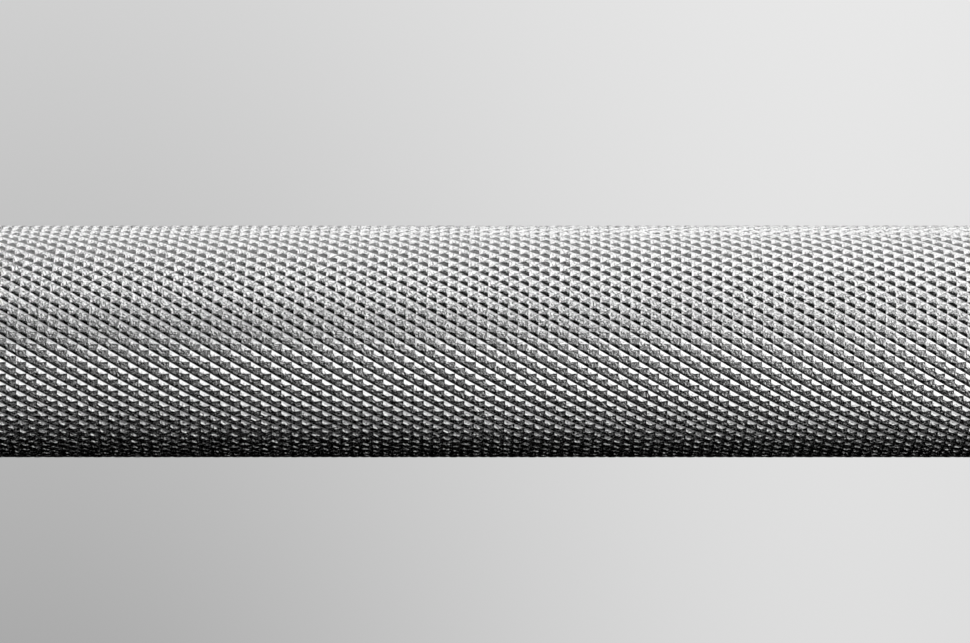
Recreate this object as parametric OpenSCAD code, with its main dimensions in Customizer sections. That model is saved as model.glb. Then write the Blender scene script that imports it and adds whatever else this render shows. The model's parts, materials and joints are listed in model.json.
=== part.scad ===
// Olympic barbell with two free-turning sleeves on needle roller bearings.
// The bar lies along X with its middle at the origin, and all sizes are in millimetres.

/* [Shaft] */
// Distance between the inner faces of the two flanges
grip_length = 1310; // [1200:1:1400]
// Diameter of the smooth bar between the knurled bands
grip_d = 28; // [27.5:0.25:29]
// Height of the knurl's crests above the smooth bar
knurl_rise = 0.2; // [0.2:0.05:0.3]
// Length of the knurled band in the middle
centre_knurl_length = 120; // [100:1:200]
// Length of each knurled band that a hand grips, counted from the flange
grip_knurl_length = 445; // [400:1:460]
// Distance from a flange to the smooth ring that marks the grip width
ring_offset = 195; // [150:1:220]
// Width of that smooth ring
ring_width = 5; // [3:0.5:8]
// Length of the bevel where a knurled band meets the smooth bar
knurl_bevel = 0.4; // [0.3:0.1:1]
// Bare length between the outer knurl and the flange
knurl_stop = 4; // [3:0.5:8]
// Diameter of the journals that the needle rollers run on
journal_d = 25; // [24:0.25:25.5]
// Bevel at each end of the shaft
shaft_chamfer = 1.5; // [0.5:0.25:2.5]
// Bare length of the journal outside the retaining ring's groove
journal_land = 4; // [3:0.5:6]

/* [Sleeve] */
// Length of the sleeve that takes plates
sleeve_length = 415; // [300:1:450]
// Diameter of the sleeve that takes plates
sleeve_d = 50; // [49.5:0.1:51]
// Bevel on the sleeve's outer end
sleeve_chamfer = 2; // [1:0.25:3]
// Diameter of the bore between the two pairs of bearings
relief_d = 27; // [26.5:0.25:30]
// Wall left round the end cap
rim_wall = 4; // [3.5:0.25:4.5]
// Depth of the step that the flange is pressed over
spigot_step = 3; // [2.5:0.25:3.25]
// Width of the grinding groove at the sleeve's foot, in the flange's recess
foot_groove_width = 0.5; // [0.4:0.1:1]
// Depth of that groove
foot_groove_depth = 0.3; // [0.2:0.1:0.5]
// Distance from the flange's inner face back to the spigot's end
spigot_setback = 1; // [0.5:0.25:2]
// Length of the chamber that holds the shaft's end
chamber_length = 16; // [15:0.5:25]
// Width of the ledge that the end cap sits on
cap_ledge = 1.5; // [1:0.25:2]

/* [Flange] */
// Width of the flange, from its inner to its outer face
flange_width = 30; // [28:0.5:34]
// Diameter of the flange
flange_d = 75; // [72:1:80]
// Diameter of the flange's neck on the grip side
neck_d = 56; // [54:1:60]
// Length of the flange's neck
neck_length = 6; // [4:0.5:8]
// Length of the sweep from the neck up to the rim
sweep_length = 8; // [6:0.5:10]
// Rounding of the flange's edges
flange_round = 1.5; // [1:0.25:2]
// Width and depth of the groove turned in the rim
rim_groove = 1; // [0.5:0.25:1.5]

/* [Needle bearings] */
// Diameter of one needle roller
needle_d = 2.5; // [2:0.25:2.75]
// Length of one needle roller
needle_length = 15.8; // [13:0.1:16]
// Number of needle rollers in one bearing
needle_count = 20; // [16:1:22]
// Length of a drawn cup
cup_length = 20; // [19.8:0.1:22]
// Wall of a drawn cup
cup_wall = 0.95; // [0.8:0.05:1.2]
// How far a cup's lip reaches inwards past its raceway
cup_lip = 1.1; // [0.9:0.1:1.3]
// Wall of the cage that keeps the rollers apart
cage_wall = 1.5; // [1.2:0.1:1.6]
// Length of the cage's end ring beyond the rollers
cage_end = 0.7; // [0.5:0.05:0.8]
// Gap between the two cups of a pair
cup_gap = 3; // [1:0.5:10]
// Distance of a cup from the step beside it
cup_setback = 1.3; // [0.5:0.1:3]

/* [Seal and washers] */
// Radial thickness of the dust seal
seal_section = 5; // [4.5:0.25:5.25]
// Width of the dust seal
seal_width = 4; // [3:0.25:6]
// Distance from the spigot's end back to the dust seal
seal_setback = 0.5; // [0.3:0.1:1]
// Distance between the dust seal and the shaft's shoulder
shoulder_gap = 0.5; // [0.3:0.1:1]
// Thickness of the bronze washer at the shoulder
inner_washer_t = 2.5; // [2:0.25:4]
// Thickness of the bronze washer at the shaft's end
outer_washer_t = 3; // [2:0.25:4]
// Thickness of the steel washer behind the retaining ring
backing_washer_t = 2; // [1:0.25:3]
// Radial width of that steel washer
backing_washer_w = 5.5; // [4:0.25:6]

/* [Retaining rings] */
// Thickness of the ring on the shaft
shaft_ring_t = 1.2; // [1:0.1:2]
// Depth of its groove in the journal
shaft_groove_depth = 0.55; // [0.4:0.05:0.8]
// Radial width of the ring on the shaft
shaft_ring_w = 3; // [2.5:0.1:3.5]
// Thickness of the ring that holds the end cap
cap_ring_t = 1.5; // [1.2:0.1:2]
// Depth of its groove in the sleeve
cap_groove_depth = 1.25; // [0.8:0.05:1.4]
// Radial width of the ring that holds the end cap
cap_ring_w = 3.6; // [3:0.1:4.5]
// Distance from the sleeve's end back to that ring
cap_ring_setback = 1.6; // [1:0.1:3]
// Radius of the ears on both rings
ear_r = 2.1; // [1.8:0.1:2.3]
// Diameter of the holes in the ears
ear_hole_d = 2; // [1.5:0.1:2.2]

/* [End cap] */
// Thickness of the end cap
cap_t = 8; // [7:0.25:12]
// Width of the end cap's raised rim
cap_rim = 6; // [5:0.25:8]
// Depth of the dish inside the rim
cap_dish = 1.2; // [0.5:0.1:2]
// Diameter of the rubber ring's section
o_ring_d = 2; // [1.5:0.1:2.5]

/* [Fits] */
// Radial clearance of a rolling or sliding fit
running_clearance = 0.02; // [0.01:0.005:0.05]
// Gap between faces that may touch when the sleeve floats
axial_play = 0.12; // [0.1:0.01:0.3]
// Radial clearance round washers, seals and the relief in the sleeve
loose_clearance = 0.2; // [0.15:0.05:0.4]

/* [Hidden] */
$fn = 96;

SIDES = ["left", "right"];
BEARINGS = [1, 2, 3, 4];
SINGLE_PARTS = [
    "sleeve_tube", "flange", "dust_seal", "inner_thrust_washer", "outer_thrust_washer",
    "backing_washer", "shaft_retaining_ring", "end_cap", "end_cap_o_ring", "end_cap_retaining_ring"
];
BEARING_PARTS = ["bearing_cup", "roller_cage", "needle_rollers"];

// Radii of the shaft
smooth_r = grip_d / 2;
crest_r = smooth_r + knurl_rise;
journal_r = journal_d / 2;
shaft_groove_r = journal_r - shaft_groove_depth;

// Radii of the bearings, from the journal outwards
needle_pitch_r = journal_r + running_clearance + needle_d / 2;
raceway_r = needle_pitch_r + needle_d / 2 + running_clearance;
cup_r = raceway_r + cup_wall;
cup_lip_r = raceway_r - cup_lip;

// Radii of the sleeve
sleeve_r = sleeve_d / 2;
spigot_r = sleeve_r - spigot_step;
mouth_r = smooth_r + seal_section;
cap_seat_r = sleeve_r - rim_wall;
cap_groove_r = cap_seat_r + cap_groove_depth;
chamber_r = cap_seat_r - cap_ledge;

// Places along X at the grip end of the right-hand side
flange_in = grip_length / 2;
flange_out = flange_in + flange_width;
recess_x = flange_out - foot_groove_width;
sleeve_end = flange_out + sleeve_length;
spigot_in = flange_in + spigot_setback;
seal_in = spigot_in + seal_setback;
shoulder_x = seal_in + seal_width + shoulder_gap;
inner_washer_in = shoulder_x + axial_play;
inner_seat_in = inner_washer_in + inner_washer_t + axial_play;

// Places along X at the plate end
cap_ring_in = sleeve_end - cap_ring_setback - cap_ring_t;
cap_groove_in = cap_ring_in - axial_play / 2;
cap_groove_out = cap_ring_in + cap_ring_t + axial_play / 2;
cap_in = cap_ring_in - axial_play - cap_t;
outer_seat_out = cap_in - chamber_length;
outer_washer_in = outer_seat_out + axial_play;
backing_in = outer_washer_in + outer_washer_t + axial_play;
shaft_ring_in = backing_in + backing_washer_t + axial_play;
shaft_groove_in = shaft_ring_in - axial_play / 2;
shaft_groove_out = shaft_ring_in + shaft_ring_t + axial_play / 2;
shaft_end = shaft_groove_out + journal_land;

// Places along X of the four cups, in two pairs
first_cup = inner_seat_in + cup_setback;
last_cup = outer_seat_out - cup_setback - cup_length;
CUP_X = [first_cup, first_cup + cup_length + cup_gap, last_cup - cup_length - cup_gap, last_cup];
inner_seat_out = CUP_X[1] + cup_length + cup_setback;
outer_seat_in = CUP_X[2] - cup_setback;

// Points of an arc about [x, r], from angle a to angle b
function arc(x, r, radius, a, b, steps = 8) =
    [for (i = [0:steps]) let (t = a + (b - a) * i / steps) [x + radius * cos(t), r + radius * sin(t)]];

// Turns an outline of [x, r] points about the bar's axis
module turned(outline) {
    rotate([0, 90, 0])
        rotate_extrude()
            polygon([for (p = outline) [p[1], p[0]]]);
}

// A plain ring from x0 to x1
module ring(x0, x1, outer_r, inner_r) {
    turned([[x0, inner_r], [x1, inner_r], [x1, outer_r], [x0, outer_r]]);
}

// Extrudes a drawing in the plane across the bar from x, with the drawing's up as the bar's up
module across(x, thickness) {
    translate([x, 0, 0])
        rotate([90, 0, 90])
            linear_extrude(thickness)
                children();
}

// Puts a part that is drawn on the right-hand side on its own side
module on_side(side) {
    mirror([side == "left" ? 1 : 0, 0, 0])
        children();
}

// The bevelled ends of a knurled band that runs from x0 to x1
function band(x0, x1) = [
    [x0, smooth_r], [x0 + knurl_bevel, crest_r], [x1 - knurl_bevel, crest_r], [x1, smooth_r]
];

// One piece of spring steel: five knurled bands, a shoulder and a journal at each end
module shaft() {
    ring_out = flange_in - ring_offset;
    half = concat(
        [[centre_knurl_length / 2 - knurl_bevel, crest_r], [centre_knurl_length / 2, smooth_r]],
        band(flange_in - grip_knurl_length, ring_out - ring_width),
        band(ring_out, flange_in - knurl_stop),
        [
            [shoulder_x, smooth_r],
            [shoulder_x, journal_r],
            [shaft_groove_in, journal_r],
            [shaft_groove_in, shaft_groove_r],
            [shaft_groove_out, shaft_groove_r],
            [shaft_groove_out, journal_r],
            [shaft_end - shaft_chamfer, journal_r],
            [shaft_end, journal_r - shaft_chamfer],
            [shaft_end, 0]
        ]
    );
    last = len(half) - 1;
    color("#8d8e90")
        turned(concat(half, [for (i = [last:-1:0]) [-half[i][0], half[i][1]]]));
}

// The tube that plates slide on, bored from both ends
module sleeve_tube() {
    color("#b9bbbe")
        turned([
            [spigot_in, mouth_r],
            [inner_seat_in, mouth_r],
            [inner_seat_in, cup_r],
            [inner_seat_out, cup_r],
            [inner_seat_out, relief_d / 2],
            [outer_seat_in, relief_d / 2],
            [outer_seat_in, cup_r],
            [outer_seat_out, cup_r],
            [outer_seat_out, chamber_r],
            [cap_in, chamber_r],
            [cap_in, cap_seat_r],
            [cap_groove_in, cap_seat_r],
            [cap_groove_in, cap_groove_r],
            [cap_groove_out, cap_groove_r],
            [cap_groove_out, cap_seat_r],
            [sleeve_end, cap_seat_r],
            [sleeve_end, sleeve_r - sleeve_chamfer],
            [sleeve_end - sleeve_chamfer, sleeve_r],
            [flange_out, sleeve_r],
            [flange_out, sleeve_r - foot_groove_depth],
            [recess_x, sleeve_r - foot_groove_depth],
            [recess_x, spigot_r],
            [spigot_in, spigot_r]
        ]);
}

// The collar pressed over the spigot, with a swept neck on the grip side
module flange() {
    neck_r = neck_d / 2;
    rim_r = flange_d / 2;
    rim_in = flange_in + neck_length + sweep_length;
    groove_x = (rim_in + flange_out) / 2;
    sweep = [for (i = [1:11])
        let (t = i / 12)
            [flange_in + neck_length + sweep_length * t,
             neck_r + (rim_r - flange_round - neck_r) * (1 - cos(180 * t)) / 2]];
    color("#b9bbbe")
        turned(concat(
            [
                [flange_out, sleeve_r + loose_clearance],
                [recess_x, sleeve_r + loose_clearance],
                [recess_x, spigot_r],
                [flange_in, spigot_r]
            ],
            arc(flange_in + flange_round, neck_r - flange_round, flange_round, 180, 90),
            [[flange_in + neck_length, neck_r]],
            sweep,
            arc(rim_in + flange_round, rim_r - flange_round, flange_round, 180, 90),
            [
                [groove_x - rim_groove / 2, rim_r],
                [groove_x, rim_r - rim_groove / 2],
                [groove_x + rim_groove / 2, rim_r]
            ],
            arc(flange_out - flange_round, rim_r - flange_round, flange_round, 90, 0)
        ));
}

// Rubber lip seal in the sleeve's mouth, which clears the smooth bar
module dust_seal() {
    lip_r = smooth_r + loose_clearance;
    relief_r = lip_r + seal_section / 3;
    color("#26272a")
        turned([
            [seal_in, lip_r],
            [seal_in + seal_width / 4, lip_r],
            [seal_in + seal_width / 2, relief_r],
            [seal_in + seal_width, relief_r],
            [seal_in + seal_width, mouth_r],
            [seal_in, mouth_r]
        ]);
}

// Bronze washer between the shaft's shoulder and the sleeve's inner step
module inner_thrust_washer() {
    color("#a8793c")
        ring(inner_washer_in, inner_washer_in + inner_washer_t,
             mouth_r - loose_clearance, journal_r + loose_clearance);
}

// Bronze washer between the sleeve's outer step and the steel washer
module outer_thrust_washer() {
    color("#a8793c")
        ring(outer_washer_in, outer_washer_in + outer_washer_t,
             chamber_r - loose_clearance, journal_r + loose_clearance);
}

// Hardened washer that spreads the load on the retaining ring
module backing_washer() {
    color("#77797c")
        ring(backing_in, backing_in + backing_washer_t,
             journal_r + backing_washer_w, journal_r + running_clearance);
}

// Pressed steel cup with a raceway and two lips that trap the cage
module bearing_cup(i) {
    x0 = CUP_X[i - 1];
    x1 = x0 + cup_length;
    color("#a4a6a9")
        turned([
            [x0, cup_lip_r], [x0 + cup_wall, cup_lip_r], [x0 + cup_wall, raceway_r],
            [x1 - cup_wall, raceway_r], [x1 - cup_wall, cup_lip_r], [x1, cup_lip_r],
            [x1, cup_r], [x0, cup_r]
        ]);
}

// Repeats its children once for each roller of a bearing
module at_each_needle() {
    for (k = [0:needle_count - 1])
        rotate([360 * k / needle_count, 0, 0])
            children();
}

// Steel cage with one pocket for each roller
module roller_cage(i) {
    middle = CUP_X[i - 1] + cup_length / 2;
    pocket_length = needle_length + 2 * axial_play;
    pocket_width = needle_d + 2 * running_clearance;
    half_length = pocket_length / 2 + cage_end;
    color("#5f6164")
        difference() {
            ring(middle - half_length, middle + half_length,
                 needle_pitch_r + cage_wall / 2, needle_pitch_r - cage_wall / 2);
            at_each_needle()
                translate([middle - pocket_length / 2, -pocket_width / 2, 0])
                    cube([pocket_length, pocket_width, raceway_r]);
        }
}

// The rollers of one bearing, between the journal and the cup's raceway
module needle_rollers(i) {
    middle = CUP_X[i - 1] + cup_length / 2;
    color("#d2d4d6")
        at_each_needle()
            translate([middle - needle_length / 2, 0, needle_pitch_r])
                rotate([0, 90, 0])
                    cylinder(h = needle_length, d = needle_d, $fn = 24);
}

// Half the angle that the two ears of a retaining ring open to, at a given radius
function ear_angle(at_r) = asin((ear_r + loose_clearance) / at_r);

// The two ears of a retaining ring at radius at_r, either side of straight up
module ears(at_r) {
    for (way = [-1, 1])
        rotate(way * ear_angle(at_r))
            translate([0, at_r])
                circle(r = ear_r);
}

// The holes in those ears
module ear_holes(at_r) {
    for (way = [-1, 1])
        rotate(way * ear_angle(at_r))
            translate([0, at_r])
                circle(d = ear_hole_d);
}

// External ring in the journal's groove, with its ears outside
module shaft_retaining_ring() {
    inner_r = shaft_groove_r + running_clearance;
    outer_r = inner_r + shaft_ring_w;
    ears_at = inner_r + ear_r + loose_clearance;
    color("#4a4c4f")
        across(shaft_ring_in, shaft_ring_t)
            difference() {
                union() {
                    circle(r = outer_r);
                    ears(ears_at);
                }
                circle(r = inner_r);
                ear_holes(ears_at);
                translate([-loose_clearance, 0])
                    square([2 * loose_clearance, outer_r + ear_r]);
            }
}

// Internal ring in the sleeve's groove, with its ears inside
module end_cap_retaining_ring() {
    outer_r = cap_groove_r - running_clearance;
    inner_r = outer_r - cap_ring_w;
    ears_at = inner_r;
    color("#4a4c4f")
        across(cap_ring_in, cap_ring_t)
            difference() {
                circle(r = outer_r);
                difference() {
                    circle(r = inner_r);
                    ears(ears_at);
                }
                ear_holes(ears_at);
                translate([-loose_clearance, inner_r - ear_r - 1])
                    square([2 * loose_clearance, outer_r]);
            }
}

// Turned aluminium disc with a raised rim and a groove for its rubber ring
module end_cap() {
    out = cap_in + cap_t;
    edge_r = cap_seat_r - running_clearance;
    groove_r = edge_r - o_ring_d + running_clearance;
    groove_x = (cap_in + out) / 2;
    groove_half = o_ring_d / 2 + running_clearance;
    dish_r = edge_r - cap_rim;
    color("#2f3033")
        turned([
            [cap_in, 0],
            [cap_in, edge_r],
            [groove_x - groove_half, edge_r],
            [groove_x - groove_half, groove_r],
            [groove_x + groove_half, groove_r],
            [groove_x + groove_half, edge_r],
            [out, edge_r],
            [out, dish_r],
            [out - cap_dish, dish_r - cap_dish],
            [out - cap_dish, 0]
        ]);
}

// Rubber ring that keeps the end cap from rattling
module end_cap_o_ring() {
    section_r = o_ring_d / 2 - running_clearance;
    color("#1c1d1f")
        translate([cap_in + cap_t / 2, 0, 0])
            rotate([0, 90, 0])
                rotate_extrude()
                    translate([cap_seat_r - o_ring_d / 2, 0])
                        circle(r = section_r, $fn = 32);
}

shaft();
for (s = SIDES) {
    on_side(s) sleeve_tube();
    on_side(s) flange();
    on_side(s) dust_seal();
    on_side(s) inner_thrust_washer();
    on_side(s) outer_thrust_washer();
    on_side(s) backing_washer();
    on_side(s) shaft_retaining_ring();
    on_side(s) end_cap();
    on_side(s) end_cap_o_ring();
    on_side(s) end_cap_retaining_ring();
    for (i = BEARINGS) {
        on_side(s) bearing_cup(i);
        on_side(s) roller_cage(i);
        on_side(s) needle_rollers(i);
    }
}
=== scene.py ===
import json
import math

import bpy
import numpy as np
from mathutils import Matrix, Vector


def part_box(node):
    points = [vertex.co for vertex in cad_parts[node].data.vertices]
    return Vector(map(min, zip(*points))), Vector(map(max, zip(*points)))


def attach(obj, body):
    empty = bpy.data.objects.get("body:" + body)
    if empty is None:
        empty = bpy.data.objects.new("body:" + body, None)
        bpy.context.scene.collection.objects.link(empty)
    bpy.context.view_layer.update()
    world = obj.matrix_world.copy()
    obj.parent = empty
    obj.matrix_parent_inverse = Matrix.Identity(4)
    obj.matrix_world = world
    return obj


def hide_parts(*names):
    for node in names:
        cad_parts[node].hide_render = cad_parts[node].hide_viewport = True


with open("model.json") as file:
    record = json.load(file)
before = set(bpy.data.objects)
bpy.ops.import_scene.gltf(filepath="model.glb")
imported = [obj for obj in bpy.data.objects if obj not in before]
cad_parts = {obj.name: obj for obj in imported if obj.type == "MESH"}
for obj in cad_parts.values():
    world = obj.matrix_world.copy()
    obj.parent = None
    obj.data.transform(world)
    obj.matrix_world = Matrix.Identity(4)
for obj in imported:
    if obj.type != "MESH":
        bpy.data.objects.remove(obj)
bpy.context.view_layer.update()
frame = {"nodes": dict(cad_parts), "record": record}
scene = bpy.context.scene


# The shaft is one rod of spring steel, 2.17 m long and turned down to a journal at each end.
# Its five grip bands are knurled: two hardened wheels press crossed helical grooves into the
# rod, and the steel between the grooves rises into diamonds with a rough crater on top.

mounts = {mount["name"]: mount for mount in frame["record"]["mounts"]}
crest_radius = mounts["centre_knurl"]["dims"]["r_mm"] / 1000
smooth_radius = 0.014
flange_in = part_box("right_flange")[0][0]
centre_band_end = 0.06
inner_band = (flange_in - 0.445, flange_in - 0.2)
outer_band = (flange_in - 0.195, flange_in - 0.004)

diamonds_round = 62
diamond_length = 0.002418
knurl_depth = 0.00025
torn_share = 0.12
point_tear, diamond_tear = 0.8, 0.2
smooth_from, skin_fade = 0.75, 0.5
lean = 0.03
lean_run_in = 0.02
fade_length = 0.0006
along_phase, around_phase = -0.00027, -0.0153
photo_middle = 0.332
fine_steps, coarse_steps = 5, 2
fine_cells, fine_pieces = 27, 4
groove_side = {
    fine_steps: ([0, 0.2, 0.4, 0.6, 0.8, 1], [1, 0.75, 0.46, 0.08, 0, 0.1]),
    coarse_steps: ([0, 0.5, 1], [1, 0.27, 0.04])}
first_wheel_share = 0.96


def scatter(one, two, seed):
    """A fixed pseudo-random number from -1 to 1 for each pair of whole numbers: the fraction
    left by a large multiple of the sine of a mix of the two."""
    mixed = np.sin(one * 12.9898 + two * 78.233 + seed * 37.719) * 43758.5453
    return 2 * (mixed - np.floor(mixed)) - 1


def solid(name, points, triangles, smooth_angle=None):
    """A mesh object from arrays of points and of triangles' corners, both one row to an item.
    Without a smooth angle its faces are flat."""
    mesh = bpy.data.meshes.new(name)
    mesh.vertices.add(len(points))
    mesh.vertices.foreach_set("co", points.astype(np.float32).ravel())
    mesh.loops.add(triangles.size)
    mesh.loops.foreach_set("vertex_index", triangles.astype(np.int32).ravel())
    mesh.polygons.add(len(triangles))
    mesh.polygons.foreach_set("loop_start", np.arange(0, triangles.size, 3, dtype=np.int32))
    mesh.update(calc_edges=True)
    if smooth_angle is None:
        mesh.shade_flat()
    else:
        mesh.shade_smooth()
        mesh.set_sharp_from_angle(angle=smooth_angle)
    piece = bpy.data.objects.new(name, mesh)
    scene.collection.objects.link(piece)
    return piece


def knurl(a, b, column, row, steps):
    """The rod's radius, and how torn its skin is from 0 to 1, where the lattice coordinates are
    a along and b around. One wheel's grooves lie where a + b is odd and the other's where a - b
    is odd. The deeper of the two is cut at each point, and what is left high is scattered as
    torn steel is. The last wheel leaves the deep part of its own grooves smooth, the skin turns
    torn up their sides, and all the rest is torn."""
    last = np.interp(np.abs((a + b) % 2 - 1), *groove_side[steps])
    first = first_wheel_share * np.interp(np.abs((a - b) % 2 - 1), *groove_side[steps])
    depth = np.maximum(last, first)
    one, two = np.floor((a + b + 1) / 2), np.floor((a - b + 1) / 2)
    along, around = one + two, (one - two) % (2 * diamonds_round)
    tear = point_tear * scatter(column, row, 1) + diamond_tear * scatter(along, around, 2)
    depth = np.clip(depth + torn_share * (1 - depth) ** 2 * tear, 0, 1)
    return crest_radius - knurl_depth * depth, np.clip((smooth_from - last) / skin_fade, 0, 1)


def knurled_rod(name, start, end, steps, band):
    """A closed length of rod along X, as a grid of length by turn, where each cell's diagonal
    is laid along its groove. The knurl fades out at the ends of its band, and between them the
    rows of diamonds lean: a point moves along by a share of its height. The columns inside
    stay a hundredth of a step clear of the ends."""
    half = diamond_length / 2
    clear = 0.01
    first = math.ceil((start - along_phase) / half * steps + clear)
    last = math.floor((end - along_phase) / half * steps - clear)
    columns = np.arange(first - 1, last + 2)
    along = columns * half / steps + along_phase
    along[0], along[-1] = start, end
    count = diamonds_round * 2 * steps
    length, angle = np.meshgrid(along, np.arange(count) * 2 * math.pi / count, indexing="ij")
    a = (length - along_phase) / half
    b = angle / (math.pi / diamonds_round)
    radius, torn = knurl(a, b, columns[:, None], np.arange(count)[None, :], steps)
    inside = np.minimum(length - band[0], band[1] - length)
    knurled = np.clip(inside / fade_length, 0, 1)
    radius = smooth_radius + (radius - smooth_radius) * knurled
    turned_by = angle + around_phase
    height = radius * np.sin(turned_by)
    leaned = length + lean * height * np.clip(inside / lean_run_in, 0, 1)
    wall = np.stack([leaned, -radius * np.cos(turned_by), height], axis=-1)
    points = np.concatenate([wall.reshape(-1, 3), [[start, 0, 0], [end, 0, 0]]])

    column = np.repeat(np.arange(len(along) - 1), count)
    row = np.tile(np.arange(count), len(along) - 1)
    after = (row + 1) % count
    low_near, low_far = column * count + row, (column + 1) * count + row
    high_near, high_far = column * count + after, (column + 1) * count + after
    cell = np.floor(((along[:-1] + along[1:]) / 2 - along_phase) / half).astype(int)
    falling = (cell[column] + row // steps) % 2 == 0
    one = np.stack([low_near, low_far, np.where(falling, high_near, high_far)], 1)
    two = np.stack([np.where(falling, low_far, low_near), high_far, high_near], 1)
    ring = np.arange(count)
    ahead = (ring + 1) % count
    final = (len(along) - 1) * count
    cap_in = np.stack([np.full(count, len(points) - 2), ring, ahead], 1)
    cap_out = np.stack([np.full(count, len(points) - 1), final + ahead, final + ring], 1)
    rod = solid(name, points, np.concatenate([one, two, cap_in, cap_out]))
    skin = np.append((torn * knurled).ravel(), [0, 0]).astype(np.float32)
    rod.data.attributes.new("torn", "FLOAT", "POINT").data.foreach_set("value", skin)
    return rod


def add(tree, kind, inputs=(), **settings):
    """A new shader node. Each of its named inputs gets a link from a socket, or else a value."""
    made = tree.nodes.new("ShaderNode" + kind)
    for key, value in settings.items():
        setattr(made, key, value)
    for key, value in dict(inputs).items():
        if isinstance(value, bpy.types.NodeSocket):
            tree.links.new(value, made.inputs[key])
        else:
            made.inputs[key].default_value = value
    return made


def effect(name, numbers, outputs):
    """A node group with a Place, some numbers and some outputs, and its two ends."""
    tree = bpy.data.node_groups.new(name, "ShaderNodeTree")
    tree.interface.new_socket("Place", in_out="INPUT", socket_type="NodeSocketVector")
    for number in numbers:
        tree.interface.new_socket(number, in_out="INPUT", socket_type="NodeSocketFloat")
    for output in outputs:
        tree.interface.new_socket(output, in_out="OUTPUT", socket_type="NodeSocketFloat")
    return tree, tree.nodes.new("NodeGroupInput").outputs, tree.nodes.new("NodeGroupOutput").inputs


def noise_at(tree, place, size, detail):
    """Noise from 0 to 1 whose patches are about the given size."""
    scale = add(tree, "Math", {0: 1.0, 1: size}, operation="DIVIDE").outputs[0]
    spot = add(tree, "VectorMath", {0: place, "Scale": scale}, operation="SCALE").outputs[0]
    return add(tree, "TexNoise", {"Vector": spot, "Scale": 1.0, "Detail": detail}).outputs["Fac"]


# Grain: fine pits and grit of one size, about zero, for torn, phosphated and moulded surfaces.
grain, given, gives = effect("grain", ["Size"], ["Height"])
pits = {0: noise_at(grain, given["Place"], given["Size"], 3.0), 1: 0.5}
grain.links.new(add(grain, "Math", pits, operation="SUBTRACT").outputs[0], gives["Height"])

grit_size = 0.0003
smooth_grit, torn_grit = 0.000006, 0.0002
knurled_steel = bpy.data.materials.new("knurled_steel")
knurled_steel.use_nodes = True
tree = knurled_steel.node_tree
place = add(tree, "TexCoord").outputs["Object"]
grit = add(tree, "Group", node_tree=grain)
tree.links.new(place, grit.inputs["Place"])
grit.inputs["Size"].default_value = grit_size
torn = add(tree, "Attribute", attribute_name="torn").outputs["Fac"]
tone = add(tree, "ValToRGB", {"Fac": torn})
tone.color_ramp.elements[0].color = (0.6, 0.6, 0.6, 1)
tone.color_ramp.elements[1].color = (0.63, 0.63, 0.63, 1)
depth_here = add(tree, "MapRange", {"Value": torn, "To Min": smooth_grit, "To Max": torn_grit})
height = add(tree, "Math", {0: grit.outputs["Height"], 1: depth_here.outputs[0]}, operation="MULTIPLY")
rough = add(tree, "MapRange", {
    "Value": grit.outputs["Height"], "From Min": -0.2, "From Max": 0.2, "To Min": 0.12, "To Max": 0.26})
normal = add(tree, "Bump", {"Height": height.outputs[0], "Distance": 1.0, "Strength": 1.0})
shader = tree.nodes["Principled BSDF"]
shader.inputs["Metallic"].default_value = 1.0
tree.links.new(tone.outputs["Color"], shader.inputs["Base Color"])
tree.links.new(rough.outputs[0], shader.inputs["Roughness"])
tree.links.new(normal.outputs["Normal"], shader.inputs["Normal"])

half_diamond = diamond_length / 2
fine_start = round((photo_middle - along_phase) / half_diamond) - fine_cells * fine_pieces // 2
fine_edges = (fine_start + np.arange(fine_pieces + 1) * fine_cells) * half_diamond + along_phase
far_inner, far_outer = (-inner_band[1], -inner_band[0]), (-outer_band[1], -outer_band[0])
far_middle = sum(far_inner) / 2
stretches = [
    ("centre_knurl", -centre_band_end, centre_band_end, coarse_steps, (-centre_band_end, centre_band_end)),
    ("left_outer_knurl", *far_outer, coarse_steps, far_outer),
    ("left_grip_knurl_1", far_inner[0], far_middle, coarse_steps, far_inner),
    ("left_grip_knurl_2", far_middle, far_inner[1], coarse_steps, far_inner),
    ("right_grip_knurl_1", inner_band[0], fine_edges[0], coarse_steps, inner_band),
    ("right_grip_knurl_6", fine_edges[-1], inner_band[1], coarse_steps, inner_band),
    ("right_outer_knurl", *outer_band, coarse_steps, outer_band),
]
for number in range(fine_pieces):
    ends = fine_edges[number], fine_edges[number + 1]
    stretches.append((f"right_grip_knurl_{number + 2}", *ends, fine_steps, inner_band))
for stretch in stretches:
    rod = knurled_rod(*stretch)
    rod.data.materials.append(knurled_steel)
    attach(rod, "shaft")
    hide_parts("shaft")


# Between the bands the rod is ground smooth, with two 5 mm rings that mark the legal grip.
# Past the outer knurl it runs through the seal to a shoulder, and the journal beyond is ground
# for the needle rollers, with a groove near its end for the retaining ring.

journal_radius = 0.0125
end_float = 0.00012
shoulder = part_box("right_inner_thrust_washer")[0][0] - end_float
shaft_ring_low, shaft_ring_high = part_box("right_shaft_retaining_ring")
ring_play = 0.00006
groove_in, groove_out = shaft_ring_low[0] - ring_play, shaft_ring_high[0] + ring_play
groove_depth = 0.00055
groove_radius = journal_radius - groove_depth
shaft_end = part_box("shaft")[1][0]
end_bevel = 0.0015
edge_angle = math.radians(28)


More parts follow.
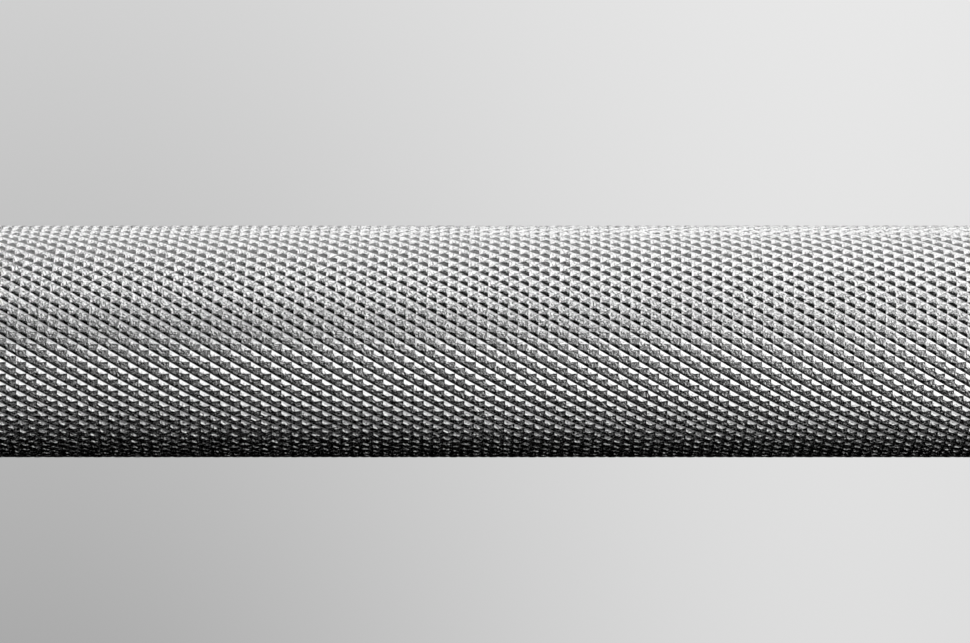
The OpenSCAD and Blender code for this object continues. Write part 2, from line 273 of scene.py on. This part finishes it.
def eased(outline, reach, steps=4):
    """The outline with each corner off the axis replaced by a parabola that touches both of its
    sides at reach from the corner, or at 45 percent of a short side: (1-t)^2 before +
    2t(1-t) corner + t^2 after."""
    corner = np.asarray(outline, float)
    before, after = np.roll(corner, 1, axis=0) - corner, np.roll(corner, -1, axis=0) - corner
    long_before = np.maximum(np.linalg.norm(before, axis=1), 1e-9)
    long_after = np.maximum(np.linalg.norm(after, axis=1), 1e-9)
    cut = np.minimum(reach, 0.45 * np.minimum(long_before, long_after)) * (corner[:, 1] > 0)
    t = np.linspace(0, 1, steps + 1)[None, :, None]
    start = (corner + before * (cut / long_before)[:, None])[:, None, :]
    stop = (corner + after * (cut / long_after)[:, None])[:, None, :]
    curve = (1 - t) ** 2 * start + 2 * t * (1 - t) * corner[:, None, :] + t ** 2 * stop
    curve = curve.reshape(-1, 2)
    apart = np.linalg.norm(curve - np.roll(curve, 1, axis=0), axis=1)
    return curve[apart > 1e-8]


def turned(name, outline, count=160, way=1):
    """A closed solid of revolution about X: the outline's point (x, r) at turn t lands on
    (x, -r cos t, r sin t). An outline that starts and ends on the axis closes there in a point,
    and any other closes on itself. way is -1 for the left-hand side, which mirrors x."""
    outline = np.asarray(outline, float)
    x, r = outline.T
    if np.sum(x * np.roll(r, -1) - np.roll(x, -1) * r) > 0:
        outline = outline[::-1]
    wall = outline[outline[:, 1] > 0]
    closed = len(wall) == len(outline)
    turn = np.arange(count) * 2 * math.pi / count
    along, out = wall[:, :1], wall[:, 1:]
    points = np.stack(np.broadcast_arrays(along, -out * np.cos(turn), out * np.sin(turn)), axis=-1)
    points = points.reshape(-1, 3)
    rows = len(wall) if closed else len(wall) - 1
    row, step = np.repeat(np.arange(rows), count), np.tile(np.arange(count), rows)
    over, beside = (row + 1) % len(wall), (step + 1) % count
    here, next_along = row * count + step, over * count + step
    next_round, opposite = row * count + beside, over * count + beside
    triangles = [np.stack([here, next_along, opposite], 1), np.stack([here, opposite, next_round], 1)]
    if not closed:
        ring = np.arange(count)
        ahead, final = (ring + 1) % count, (len(wall) - 1) * count
        poles = [[outline[0, 0], 0, 0], [outline[-1, 0], 0, 0]]
        points = np.concatenate([points, poles])
        triangles.append(np.stack([np.full(count, len(points) - 2), ring, ahead], 1))
        triangles.append(np.stack([np.full(count, len(points) - 1), final + ahead, final + ring], 1))
    triangles = np.concatenate(triangles)[:, ::way]
    return solid(name, points * [way, 1, 1], triangles, edge_angle)


def length_and_radius(tree, place):
    """A place along the bar's axis, and its distance from it: the root of y squared plus z
    squared."""
    parts = add(tree, "SeparateXYZ", {0: place}).outputs
    across = add(tree, "CombineXYZ", {"Y": parts["Y"], "Z": parts["Z"]})
    return parts["X"], add(tree, "VectorMath", {0: across.outputs[0]}, operation="LENGTH").outputs["Value"]


# Turning marks: the fine rings that a lathe or a grinding wheel leaves, as noise that changes
# along the axis and with the radius and is the same all the way round.
turning_marks, given, gives = effect("turning_marks", ["Pitch"], ["Height"])
axial, radial = length_and_radius(turning_marks, given["Place"])
across = add(turning_marks, "CombineXYZ", {"X": axial, "Y": radial}).outputs[0]
turning_marks.links.new(noise_at(turning_marks, across, given["Pitch"], 4.0), gives["Height"])

# Handling: soft stains and rub marks a few centimetres long that lie along the bar.
handling, given, gives = effect("handling", ["Size"], ["Mask"])
squeezed = add(handling, "VectorMath", {0: given["Place"], 1: (0.12, 1, 1)}, operation="MULTIPLY")
blotch = noise_at(handling, squeezed.outputs[0], given["Size"], 5.0)
kept = add(handling, "MapRange", {"Value": blotch, "From Min": 0.42, "From Max": 0.66})
handling.links.new(kept.outputs[0], gives["Mask"])


def finish(name, colour, metallic, roughness, marks, grit, rubbed, dull):
    """A material with turning marks and grit as (size, depth) in metres. The marks vary the
    roughness by a fifth either way. Rub marks of a size pull the colour towards dull and add
    half as much roughness again."""
    material = bpy.data.materials.new(name)
    material.use_nodes = True
    tree = material.node_tree
    place = add(tree, "TexCoord").outputs["Object"]
    patterns, heights = [], []
    for group, socket, (size, depth) in ((turning_marks, "Pitch", marks), (grain, "Size", grit)):
        effect_node = add(tree, "Group", node_tree=group)
        tree.links.new(place, effect_node.inputs["Place"])
        effect_node.inputs[socket].default_value = size
        patterns.append(effect_node.outputs["Height"])
        heights.append(add(tree, "Math", {0: patterns[-1], 1: depth}, operation="MULTIPLY").outputs[0])
    rub = add(tree, "Group", node_tree=handling)
    tree.links.new(place, rub.inputs["Place"])
    rub.inputs["Size"].default_value = rubbed
    height = add(tree, "Math", {0: heights[0], 1: heights[1]}, operation="ADD").outputs[0]
    normal = add(tree, "Bump", {"Height": height, "Distance": 1.0, "Strength": 1.0})
    tone = add(tree, "ValToRGB", {"Fac": rub.outputs["Mask"]})
    tone.color_ramp.elements[0].color = (*colour, 1)
    tone.color_ramp.elements[1].color = (*dull, 1)
    streak = add(tree, "MapRange", {
        "Value": patterns[0], "To Min": roughness * 0.8, "To Max": roughness * 1.2})
    worn = {0: rub.outputs["Mask"], 1: roughness * 0.5, 2: streak.outputs[0]}
    rough = add(tree, "Math", worn, operation="MULTIPLY_ADD")
    shader = tree.nodes["Principled BSDF"]
    shader.inputs["Metallic"].default_value = metallic
    tree.links.new(tone.outputs["Color"], shader.inputs["Base Color"])
    tree.links.new(rough.outputs[0], shader.inputs["Roughness"])
    tree.links.new(normal.outputs["Normal"], shader.inputs["Normal"])
    return material


def dress(pieces, material):
    """Puts a material on every slot of some CAD nodes."""
    for piece in pieces:
        for slot in frame["nodes"][piece].material_slots:
            slot.material = material


ground_steel = finish(
    "ground_steel", (0.56, 0.56, 0.57), 1.0, 0.26, (0.00012, 0.0000022), (0.0004, 0.000001),
    0.006, (0.47, 0.465, 0.46))
end_outline = [
    (outer_band[1], 0), (outer_band[1], smooth_radius), (shoulder, smooth_radius),
    (shoulder, journal_radius), (groove_in, journal_radius), (groove_in, groove_radius),
    (groove_out, groove_radius), (groove_out, journal_radius),
    (shaft_end - end_bevel, journal_radius), (shaft_end, journal_radius - end_bevel),
    (shaft_end, 0)]
for side, way in (("left", -1), ("right", 1)):
    lengths = {"grip_gap": (centre_band_end, inner_band[0]), "marking_ring": (inner_band[1], outer_band[0])}
    rods = [turned(f"{side}_journal", eased(end_outline, 0.0002), way=way)]
    for part, (start, end) in lengths.items():
        outline = [(start, 0), (start, smooth_radius), (end, smooth_radius), (end, 0)]
        rods.append(turned(f"{side}_{part}", outline, way=way))
    for rod in rods:
        rod.data.materials.append(ground_steel)
        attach(rod, "shaft")
        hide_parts("shaft")


# Four needle bearings carry each sleeve. A bearing is a drawn and case-hardened cup, a cage
# pressed from sheet steel, and 20 ground rollers, all wet with thin oil.

bearing_steel = finish(
    "bearing_steel", (0.6, 0.61, 0.62), 1.0, 0.17, (0.0003, 0.0000015), (0.0002, 0.0000008),
    0.004, (0.5, 0.49, 0.46))
roller_steel = finish(
    "roller_steel", (0.7, 0.71, 0.72), 1.0, 0.1, (0.0001, 0.0000006), (0.0001, 0.0000004),
    0.003, (0.62, 0.61, 0.58))
cage_steel = finish(
    "cage_steel", (0.38, 0.385, 0.39), 1.0, 0.36, (0.0005, 0.000003), (0.0003, 0.000006),
    0.004, (0.28, 0.27, 0.25))
for side in ("left", "right"):
    for number in range(1, 5):
        dress([f"{side}_bearing_cup_{number}"], bearing_steel)
        dress([f"{side}_needle_rollers_{number}"], roller_steel)
        dress([f"{side}_roller_cage_{number}"], cage_steel)


# Bronze washers take the sleeve's side load, one at the shaft's shoulder and one at its end.
# They are faced on a lathe, which leaves rings, and oil has darkened them in patches.

bearing_bronze = finish(
    "bearing_bronze", (0.66, 0.47, 0.24), 1.0, 0.3, (0.00035, 0.000012), (0.0003, 0.000004),
    0.005, (0.46, 0.31, 0.15))
for side in ("left", "right"):
    dress([f"{side}_inner_thrust_washer", f"{side}_outer_thrust_washer"], bearing_bronze)


# A hardened washer backs the outer bronze one, and a ring of phosphated spring steel that snaps
# into the journal's groove holds the stack. A like ring inside the sleeve's end holds the cap.

hardened_steel = finish(
    "hardened_steel", (0.47, 0.48, 0.49), 1.0, 0.28, (0.0002, 0.000004), (0.0002, 0.000002),
    0.004, (0.36, 0.35, 0.33))
spring_steel = finish(
    "spring_steel", (0.16, 0.165, 0.17), 0.7, 0.5, (0.0008, 0.000002), (0.00018, 0.000014),
    0.003, (0.24, 0.235, 0.22))
for side in ("left", "right"):
    dress([f"{side}_backing_washer"], hardened_steel)
    dress([f"{side}_shaft_retaining_ring", f"{side}_end_cap_retaining_ring"], spring_steel)


# The sleeve is a steel tube that the plates slide on. It is bored from both ends for the
# bearings, turned outside, and hard chromed. Plates leave long faint rubs along its top coat.

tube_low, tube_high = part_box("right_sleeve_tube")
spigot_in, sleeve_end, sleeve_radius = tube_low[0], tube_high[0], tube_high[2]
flange_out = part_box("right_flange")[1][0]
spigot_step, foot_step, recess_depth = 0.003, 0.0003, 0.0005
spigot_radius, foot_radius = sleeve_radius - spigot_step, sleeve_radius - foot_step
recess_in = flange_out - recess_depth
seal_height = 0.005
mouth_radius = smooth_radius + seal_height
cups = [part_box(f"right_bearing_cup_{number}") for number in range(1, 5)]
seat_radius = cups[0][1][2]
seat_margin = 0.0013
inner_seat = (cups[0][0][0] - seat_margin, cups[1][1][0] + seat_margin)
outer_seat = (cups[2][0][0] - seat_margin, cups[3][1][0] + seat_margin)
relief_radius = 0.0135
cap_in, cap_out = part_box("right_end_cap")[0][0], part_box("right_end_cap")[1][0]
rim_wall, cap_ledge, cap_groove_depth = 0.004, 0.0015, 0.00125
cap_seat_radius = sleeve_radius - rim_wall
chamber_radius = cap_seat_radius - cap_ledge
cap_ring_low, cap_ring_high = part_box("right_end_cap_retaining_ring")
cap_groove = (cap_ring_low[0] - ring_play, cap_ring_high[0] + ring_play)
cap_groove_radius = cap_seat_radius + cap_groove_depth
sleeve_bevel = 0.002

hard_chrome = finish(
    "hard_chrome", (0.72, 0.725, 0.735), 1.0, 0.19, (0.00022, 0.0000035), (0.0015, 0.0000012),
    0.004, (0.6, 0.6, 0.605))
tube_outline = [
    (spigot_in, mouth_radius), (inner_seat[0], mouth_radius), (inner_seat[0], seat_radius),
    (inner_seat[1], seat_radius), (inner_seat[1], relief_radius), (outer_seat[0], relief_radius),
    (outer_seat[0], seat_radius), (outer_seat[1], seat_radius), (outer_seat[1], chamber_radius),
    (cap_in, chamber_radius), (cap_in, cap_seat_radius), (cap_groove[0], cap_seat_radius),
    (cap_groove[0], cap_groove_radius), (cap_groove[1], cap_groove_radius),
    (cap_groove[1], cap_seat_radius), (sleeve_end, cap_seat_radius),
    (sleeve_end, sleeve_radius - sleeve_bevel), (sleeve_end - sleeve_bevel, sleeve_radius),
    (flange_out, sleeve_radius), (flange_out, foot_radius), (recess_in, foot_radius),
    (recess_in, spigot_radius), (spigot_in, spigot_radius)]
for side, way in (("left", -1), ("right", 1)):
    tube = turned(f"{side}_plate_sleeve", eased(tube_outline, 0.00025), 224, way)
    tube.data.materials.append(hard_chrome)
    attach(tube, f"{side}_sleeve")
    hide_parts(f"{side}_sleeve_tube")


# The flange is a turned steel collar pressed over the sleeve's spigot, and plates stop against
# its flat outer face. Its neck sweeps up to a rim with a fine groove, and it is hard chromed.

rim_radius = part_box("right_flange")[1][2]
neck_radius, neck_length, sweep_length = 0.028, 0.006, 0.008
edge_round = 0.0015
rim_groove = 0.001
recess_clearance = 0.0002
recess_radius = sleeve_radius + recess_clearance


def quarter(x, r, radius, start, stop, steps=8):
    """Points of an arc about (x, r): the centre plus radius times (cos, sin) of the angle."""
    angle = np.radians(np.linspace(start, stop, steps + 1))
    return np.stack([x + radius * np.cos(angle), r + radius * np.sin(angle)], 1)


share = np.arange(1, 24) / 24
sweep_x = flange_in + neck_length + sweep_length * share
sweep_r = neck_radius + (rim_radius - edge_round - neck_radius) * (1 - np.cos(math.pi * share)) / 2
rim_in = flange_in + neck_length + sweep_length
groove_middle = (rim_in + flange_out) / 2
groove_reach, groove_floor = rim_groove / 2, rim_radius - rim_groove / 2
flange_outline = np.concatenate([
    eased([
        (flange_out, recess_radius), (recess_in, recess_radius), (recess_in, spigot_radius),
        (flange_in, spigot_radius)], 0.0001)[1:-1],
    quarter(flange_in + edge_round, neck_radius - edge_round, edge_round, 180, 90),
    [(flange_in + neck_length, neck_radius)],
    np.stack([sweep_x, sweep_r], 1),
    quarter(rim_in + edge_round, rim_radius - edge_round, edge_round, 180, 90),
    eased([
        (groove_middle - groove_reach, rim_radius), (groove_middle, groove_floor),
        (groove_middle + groove_reach, rim_radius)], 0.0001)[2:-2],
    quarter(flange_out - edge_round, rim_radius - edge_round, edge_round, 90, 0)])
chromed_flange = finish(
    "chromed_flange", (0.7, 0.705, 0.715), 1.0, 0.2, (0.0003, 0.000005), (0.0012, 0.0000012),
    0.006, (0.58, 0.58, 0.585))
for side, way in (("left", -1), ("right", 1)):
    collar = turned(f"{side}_stop_collar", flange_outline, 288, way)
    collar.data.materials.append(chromed_flange)
    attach(collar, f"{side}_sleeve")
    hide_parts(f"{side}_flange")


# A moulded rubber ring sits in the sleeve's mouth, and its lip keeps chalk and dust out of the
# bearings. It clears the smooth bar by a hair.

seal_low, seal_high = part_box("right_dust_seal")
seal_in, seal_out = seal_low[0], seal_high[0]
lip_clearance = 0.0002
lip_radius = smooth_radius + lip_clearance
hollow_radius = lip_radius + seal_height / 3
seal_width = seal_out - seal_in
seal_outline = [
    (seal_in, lip_radius), (seal_in + seal_width / 4, lip_radius),
    (seal_in + seal_width / 2, hollow_radius), (seal_out, hollow_radius),
    (seal_out, mouth_radius), (seal_in, mouth_radius)]
seal_rubber = finish(
    "seal_rubber", (0.03, 0.03, 0.032), 0.0, 0.62, (0.0006, 0.000006), (0.00015, 0.000012),
    0.004, (0.055, 0.054, 0.052))
for side, way in (("left", -1), ("right", 1)):
    seal = turned(f"{side}_lip_seal", eased(seal_outline, 0.0003), 160, way)
    seal.data.materials.append(seal_rubber)
    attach(seal, f"{side}_sleeve")
    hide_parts(f"{side}_dust_seal")


# The end cap is a turned aluminium disc with a dished face, anodised black. A rubber ring in
# its groove stops it rattling, and the snap ring outside it holds it in.

cap_edge_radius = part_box("right_end_cap")[1][2]
ring_section, ring_fit = 0.002, 0.00002
cap_middle = (cap_in + cap_out) / 2
ring_seat_radius = cap_edge_radius - ring_section + ring_fit
ring_seat_half = ring_section / 2 + ring_fit
dish_border, dish_depth = 0.006, 0.0012
dish_radius = cap_edge_radius - dish_border
cap_outline = [
    (cap_in, 0), (cap_in, cap_edge_radius), (cap_middle - ring_seat_half, cap_edge_radius),
    (cap_middle - ring_seat_half, ring_seat_radius), (cap_middle + ring_seat_half, ring_seat_radius),
    (cap_middle + ring_seat_half, cap_edge_radius), (cap_out, cap_edge_radius),
    (cap_out, dish_radius), (cap_out - dish_depth, dish_radius - dish_depth),
    (cap_out - dish_depth, 0)]
black_anodised = finish(
    "black_anodised", (0.035, 0.036, 0.04), 0.35, 0.32, (0.0005, 0.000012), (0.0002, 0.000003),
    0.006, (0.05, 0.05, 0.053))
ring_centre_radius = cap_seat_radius - ring_section / 2
ring_sides = 24
ring_angle = np.arange(ring_sides) * 2 * math.pi / ring_sides
ring_half = ring_section / 2 - ring_fit
ring_outline = np.stack([
    cap_middle + ring_half * np.cos(ring_angle), ring_centre_radius + ring_half * np.sin(ring_angle)], 1)
for side, way in (("left", -1), ("right", 1)):
    cap = turned(f"{side}_cap_disc", eased(cap_outline, 0.0003), 192, way)
    cap.data.materials.append(black_anodised)
    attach(cap, f"{side}_sleeve")
    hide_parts(f"{side}_end_cap")
    rubber = turned(f"{side}_cap_rubber_ring", ring_outline, 128, way)
    rubber.data.materials.append(seal_rubber)
    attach(rubber, f"{side}_sleeve")
    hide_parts(f"{side}_end_cap_o_ring")


# The studio floor is a pale disc that fades out at its edge, below the bar and out of the
# photograph's view.

floor_height, floor_solid, floor_edge = -0.6, 2.4, 3.8
sides = 128
floor_ring = np.arange(sides)
floor_turn = floor_ring * 2 * math.pi / sides
floor_rim = np.stack([
    floor_edge * np.cos(floor_turn), floor_edge * np.sin(floor_turn), np.full(sides, floor_height)], 1)
floor = solid(
    "floor", np.concatenate([floor_rim, [[0, 0, floor_height]]]),
    np.stack([np.full(sides, sides), floor_ring, (floor_ring + 1) % sides], 1))
floor_paint = bpy.data.materials.new("floor_paint")
floor_paint.use_nodes = True
tree = floor_paint.node_tree
place = add(tree, "TexCoord").outputs["Object"]
far = add(tree, "VectorMath", {0: place}, operation="LENGTH").outputs["Value"]
speckle = add(tree, "TexNoise", {"Vector": place, "Scale": 60.0, "Detail": 4.0}).outputs["Fac"]
tone = add(tree, "ValToRGB", {"Fac": speckle})
tone.color_ramp.elements[0].color = (0.66, 0.66, 0.66, 1)
tone.color_ramp.elements[1].color = (0.7, 0.7, 0.7, 1)
shader = tree.nodes["Principled BSDF"]
shader.inputs["Roughness"].default_value = 0.8
tree.links.new(tone.outputs["Color"], shader.inputs["Base Color"])
fading = {"Value": far, "From Min": floor_solid, "From Max": floor_edge, "To Min": 1.0, "To Max": 0.0}
there = add(tree, "MapRange", fading, interpolation_type="SMOOTHSTEP").outputs[0]
tree.links.new(there, shader.inputs["Alpha"])
floor.data.materials.append(floor_paint)
floor.visible_glossy = False


# A glowing shell stands round the bar and shows in reflections alone: painted reflected light, not cloth.
# It glows on the right, overhead, behind and at the far left, and is dark at the lower left, a painted dark
# reflection. Its light depends on the direction alone: X runs to the right, Y to the back and Z up, each
# from -1 to 1.

tent_radius = 7.0
hoops, panels = 32, 64
tilt, spin = np.meshgrid(
    np.linspace(0, math.pi, hoops + 1), np.arange(panels + 1) * 2 * math.pi / panels, indexing="ij")
tent_points = tent_radius * np.stack(
    [np.sin(tilt) * np.cos(spin), np.sin(tilt) * np.sin(spin), np.cos(tilt)], axis=-1)
corner = (np.arange(hoops)[:, None] * (panels + 1) + np.arange(panels)).ravel()
below = corner + panels + 1
tent = solid("tent", tent_points.reshape(-1, 3), np.concatenate([
    np.stack([corner, below + 1, below], 1), np.stack([corner, corner + 1, below + 1], 1)]))
painted_reflection_glow = bpy.data.materials.new("painted_reflection_glow")
painted_reflection_glow.use_nodes = True
tree = painted_reflection_glow.node_tree
tree.nodes.clear()
place = add(tree, "TexCoord").outputs["Object"]
direction = add(tree, "VectorMath", {0: place}, operation="NORMALIZE").outputs[0]
toward = add(tree, "SeparateXYZ", {0: direction}).outputs


def weighted(one, by, two):
    """One number times a factor, plus another number."""
    return add(tree, "Math", {0: one, 1: by, 2: two}, operation="MULTIPLY_ADD").outputs[0]


def ranged(value, low, high, to_low=0.0, to_high=1.0, kind="SMOOTHSTEP"):
    """The value's run from low to high as a run from to_low to to_high."""
    run = {"Value": value, "From Min": low, "From Max": high, "To Min": to_low, "To Max": to_high}
    return add(tree, "MapRange", run, interpolation_type=kind).outputs[0]


def blend(share, one, two):
    """A mix of two numbers."""
    return add(tree, "Mix", {"Factor": share, "A": one, "B": two}).outputs["Result"]


def times(one, two):
    """The product of two numbers."""
    return add(tree, "Math", {0: one, 1: two}, operation="MULTIPLY").outputs[0]


# The front half is lit from the right. Its light grows with X plus some of Z, is brightest at
# the far right, dies out near the ground, and dips between the right-hand glow and the overhead.
key_reach = 0.6
key = ranged(weighted(toward["Z"], 0.45, toward["X"]), -key_reach, key_reach, kind="LINEAR")
front = add(tree, "ValToRGB", {"Fac": key})
steps_up = [
    (-0.6, 0.03), (-0.43, 0.1), (-0.3, 0.17), (-0.17, 0.2), (0, 0.24), (0.1, 0.38), (0.2, 0.6),
    (0.3, 0.83), (0.4, 1.0), (0.6, 1.15)]
for number, (at, level) in enumerate(steps_up):
    stop = front.color_ramp.elements[number] if number < 2 else front.color_ramp.elements.new(1.0)
    stop.position = (at + key_reach) / (2 * key_reach)
    stop.color = (level, level, level, 1)
front = blend(ranged(toward["X"], 0.25, 0.58), front.outputs["Color"], 1.5)
front = times(front, ranged(toward["X"], -0.14, 0.17, 0.1, 1.33, kind="LINEAR"))
front = times(front, ranged(toward["Z"], -0.85, -0.05, kind="LINEAR"))
gap = blend(ranged(toward["X"], 0.35, 0.62), ranged(toward["X"], 0.1, 0.3, 0.75, 0.3), 1.0)
front = times(front, blend(ranged(toward["Z"], 0.55, 0.8), 1.0, gap))
overhead = ranged(toward["X"], -0.3, -0.12, 0.45, 0.2)
front = weighted(ranged(toward["Z"], 0.35, 0.95, kind="LINEAR"), overhead, front)
# The rear half is brightest high up and stops at the ground. The far left has a plain glow.
rear = blend(ranged(toward["Z"], 0.54, 0.9), 0.15, ranged(toward["X"], -0.4, -0.14, 0.4, 2.2))
rear = times(rear, ranged(toward["Z"], -0.02, 0.1))
light = blend(ranged(toward["Y"], -0.15, 0.2), front, rear)
far_side = ranged(toward["Z"], -0.5, 0.5, 0.3, 1.1)
light = blend(ranged(toward["X"], -0.93, -0.75, 1.0, 0.0), light, far_side)
# Painted reflected light: this emission is what the polished steel reflects, in place of lamps and dark
# flags.
glow = add(tree, "Emission", {"Color": light, "Strength": 1.0})
add(tree, "OutputMaterial", {"Surface": glow.outputs[0]})
tent.data.materials.append(painted_reflection_glow)
tent.visible_camera = False
tent.visible_diffuse = False
tent.visible_transmission = False
tent.visible_shadow = False


# Two large softboxes light what isn't polished: one high on the right, one overhead and behind.
# They show in no reflection, where the tent stands in for them.


def softbox(name, middle, size, brightness):
    """An area light that faces the bar. Its power is brightness times pi times its area."""
    light = bpy.data.lights.new(name, "AREA")
    light.shape = "RECTANGLE"
    light.size, light.size_y = size
    light.energy = brightness * math.pi * size[0] * size[1]
    lamp = bpy.data.objects.new(name, light)
    lamp.location = middle
    lamp.rotation_euler = lamp.location.to_track_quat("Z", "Y").to_euler()
    lamp.visible_camera = False
    lamp.visible_glossy = False
    scene.collection.objects.link(lamp)


softbox("right_softbox", (2.4, -0.3, 1.77), (6.0, 6.0), 0.8)
softbox("rear_softbox", (0.3, 2.25, 2.0), (5.0, 2.2), 0.8)


# The backdrop is grey paper with painted light falloff, lighter to the right and at the top.
# Matt surfaces see an even grey instead, as in a room.

world = bpy.data.worlds.new("backdrop")
scene.world = world
world.use_nodes = True
tree = world.node_tree
tree.nodes.clear()
toward = add(tree, "SeparateXYZ", {0: add(tree, "TexCoord").outputs["Generated"]}).outputs
low_side, high_side = -0.096, 0.097
left_side, right_side = -0.157, 0.127


def graded(low, high):
    """A grey that runs from low to high over the photograph's height."""
    run = {"Value": toward["Z"], "From Min": low_side, "From Max": high_side, "To Min": low, "To Max": high}
    return add(tree, "MapRange", run).outputs[0]


# Painted falloff: the paper's grey is graded lighter towards the right and the top.
left_grey, right_grey = graded(0.402, 0.624), graded(0.73, 0.806)
rightward = {"Value": toward["X"], "From Min": left_side, "From Max": right_side}
rightward = add(tree, "MapRange", rightward, interpolation_type="SMOOTHSTEP").outputs[0]
paper_grey_and_painted_falloff = add(tree, "Mix", {"Factor": rightward, "A": left_grey, "B": right_grey}).outputs["Result"]
paper = add(tree, "Background", {"Color": paper_grey_and_painted_falloff, "Strength": 1.0}).outputs[0]
room = add(tree, "Background", {"Color": (0.35, 0.35, 0.35, 1), "Strength": 1.0}).outputs[0]
ray = add(tree, "LightPath").outputs
direct = add(tree, "Math", {0: ray["Is Camera Ray"], 1: ray["Is Glossy Ray"]}, operation="MAXIMUM")
direct = add(tree, "Math", {0: direct.outputs[0], 1: ray["Is Transmission Ray"]}, operation="MAXIMUM")
seen = add(tree, "MixShader", {0: direct.outputs[0], 1: room, 2: paper})
add(tree, "OutputWorld", {"Surface": seen.outputs[0]})
scene.view_settings.view_transform = "Standard"


# The camera is a macro lens 400 mm from the bar's axis, level with it and square to it. The bar
# is 232 pixels high in the 970 by 643 picture, and 20 pixels below its middle.

camera_distance = 0.4
picture_width, bar_half_height, bar_below_middle = 970, 115.95, 19.95
lens_pixels = bar_half_height * math.sqrt((camera_distance / crest_radius) ** 2 - 1)
lens = bpy.data.cameras.new("camera")
lens.sensor_width = 36
lens.lens = lens_pixels / picture_width * lens.sensor_width
lens.clip_start = 0.02
camera = bpy.data.objects.new("camera", lens)
camera.location = (photo_middle, -camera_distance, bar_below_middle / lens_pixels * camera_distance)
camera.rotation_euler = (math.pi / 2, 0, 0)
scene.collection.objects.link(camera)
scene.camera = camera
